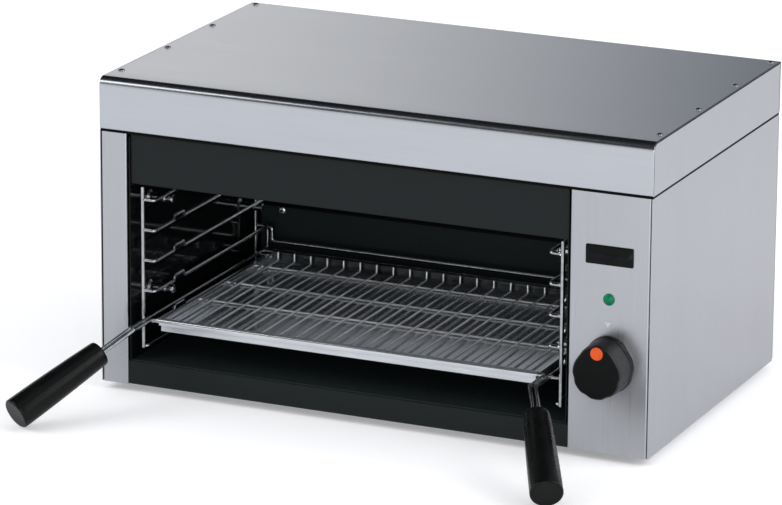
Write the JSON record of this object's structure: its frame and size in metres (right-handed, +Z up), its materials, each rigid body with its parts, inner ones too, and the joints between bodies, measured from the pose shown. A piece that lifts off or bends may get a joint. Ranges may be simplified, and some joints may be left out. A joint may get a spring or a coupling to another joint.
{
  "type": "cheese melter",
  "caption": "Countertop open-fronted electric grill with a hood, side wire racks, a pull-out wire shelf on two black handles, drip tray, toasting grid and a control knob",
  "frame": {"origin": "on the table under the middle of the whole part's box, handles included", "axes": "+X right as seen from the front, +Y to the back, +Z up"},
  "size_m": [0.6287, 0.5362, 0.3306],
  "materials": {
    "base_tray": "satin, vertical brushed grain",
    "foot_front_left": "matte",
    "foot_front_right": "matte",
    "foot_rear_left": "matte",
    "foot_rear_right": "matte",
    "foot_screws": "plain",
    "left_side_panel": "satin, vertical brushed grain",
    "right_side_panel": "satin, vertical brushed grain",
    "left_post": "satin, vertical brushed grain",
    "control_panel": "satin, vertical brushed grain",
    "back_panel": "satin, vertical brushed grain",
    "back_screws": "plain",
    "top_cover": "satin",
    "hood_end_left": "satin, vertical brushed grain",
    "hood_end_right": "satin, vertical brushed grain",
    "cover_screws": "plain",
    "hood_seal": "matte",
    "upper_fascia": "black enamel",
    "lower_fascia": "black enamel",
    "fascia_screws": "plain",
    "liner_left": "polished, darkened by heat",
    "liner_right": "polished, darkened by heat",
    "liner_back": "polished, darkened by heat",
    "liner_floor": "polished, darkened by heat",
    "rear_brackets": "plain",
    "liner_screws": "plain",
    "heat_reflector": "bright",
    "insulation": "mineral fibre mat",
    "element_front": "dark metal sheath",
    "element_middle": "dark metal sheath",
    "element_rear": "dark metal sheath",
    "element_hanger_left": "bright",
    "element_hanger_right": "bright",
    "rack_left": "bright plated wire",
    "rack_right": "bright plated wire",
    "rack_studs_left": "bright plated wire",
    "rack_studs_right": "bright plated wire",
    "shelf_frame": "bright plated wire",
    "grip_left": "black phenolic",
    "grip_right": "black phenolic",
    "drip_tray": "satin",
    "toasting_grid": "bright plated wire",
    "control_knob": "black phenolic",
    "knob_dot": "orange",
    "regulator_shaft": "plain",
    "energy_regulator": "black phenolic",
    "regulator_screws": "plain",
    "neon_lens": "clear green",
    "neon_body": "black phenolic",
    "front_plate": "plain black",
    "terminal_block": "ceramic white",
    "cable_gland": "black phenolic",
    "gland_nut": "black phenolic",
    "supply_leads": "heat-proof sleeving",
    "element_leads": "heat-proof sleeving"
  },
  "bodies": {
    "casing": {"base_tray": "base_tray", "foot_front_left": "foot_front_left", "foot_front_right": "foot_front_right", "foot_rear_left": "foot_rear_left", "foot_rear_right": "foot_rear_right", "foot_screws": "foot_screws", "left_side_panel": "left_side_panel", "right_side_panel": "right_side_panel", "left_post": "left_post", "control_panel": "control_panel", "back_panel": "back_panel", "back_screws": "back_screws", "top_cover": "top_cover", "hood_end_left": "hood_end_left", "hood_end_right": "hood_end_right", "cover_screws": "cover_screws", "hood_seal": "hood_seal", "upper_fascia": "upper_fascia", "lower_fascia": "lower_fascia", "fascia_screws": "fascia_screws", "liner_left": "liner_left", "liner_right": "liner_right", "liner_back": "liner_back", "liner_floor": "liner_floor", "rear_brackets": "rear_brackets", "liner_screws": "liner_screws", "heat_reflector": "heat_reflector", "insulation": "insulation", "element_front": "element_front", "element_middle": "element_middle", "element_rear": "element_rear", "element_hanger_left": "element_hanger_left", "element_hanger_right": "element_hanger_right", "rack_left": "rack_left", "rack_right": "rack_right", "rack_studs_left": "rack_studs_left", "rack_studs_right": "rack_studs_right", "energy_regulator": "energy_regulator", "regulator_screws": "regulator_screws", "neon_lens": "neon_lens", "neon_body": "neon_body", "front_plate": "front_plate", "terminal_block": "terminal_block", "cable_gland": "cable_gland", "gland_nut": "gland_nut", "supply_leads": "supply_leads", "element_leads": "element_leads"},
    "shelf": {"shelf_frame": "shelf_frame", "grip_left": "grip_left", "grip_right": "grip_right"},
    "tray": {"drip_tray": "drip_tray"},
    "grid": {"toasting_grid": "toasting_grid"},
    "knob": {"control_knob": "control_knob", "knob_dot": "knob_dot", "regulator_shaft": "regulator_shaft"}
  },
  "joints": [
    {"name": "shelf_slide", "type": "slide", "parent": "casing", "child": "shelf", "axis": [0, -1, 0], "range_m": [0, 0.195]},
    {"name": "tray_lift", "type": "slide", "parent": "shelf", "child": "tray", "axis": [0, 0, 1], "range_m": [0, 0.06]},
    {"name": "grid_lift", "type": "slide", "parent": "tray", "child": "grid", "axis": [0, 0, 1], "range_m": [0, 0.06]},
    {"name": "knob_turn", "type": "hinge", "parent": "casing", "child": "knob", "pos_m": [0.27103, -0.11445, 0.0978], "axis": [0, 1, 0], "range_deg": [0, 270]}
  ]
}
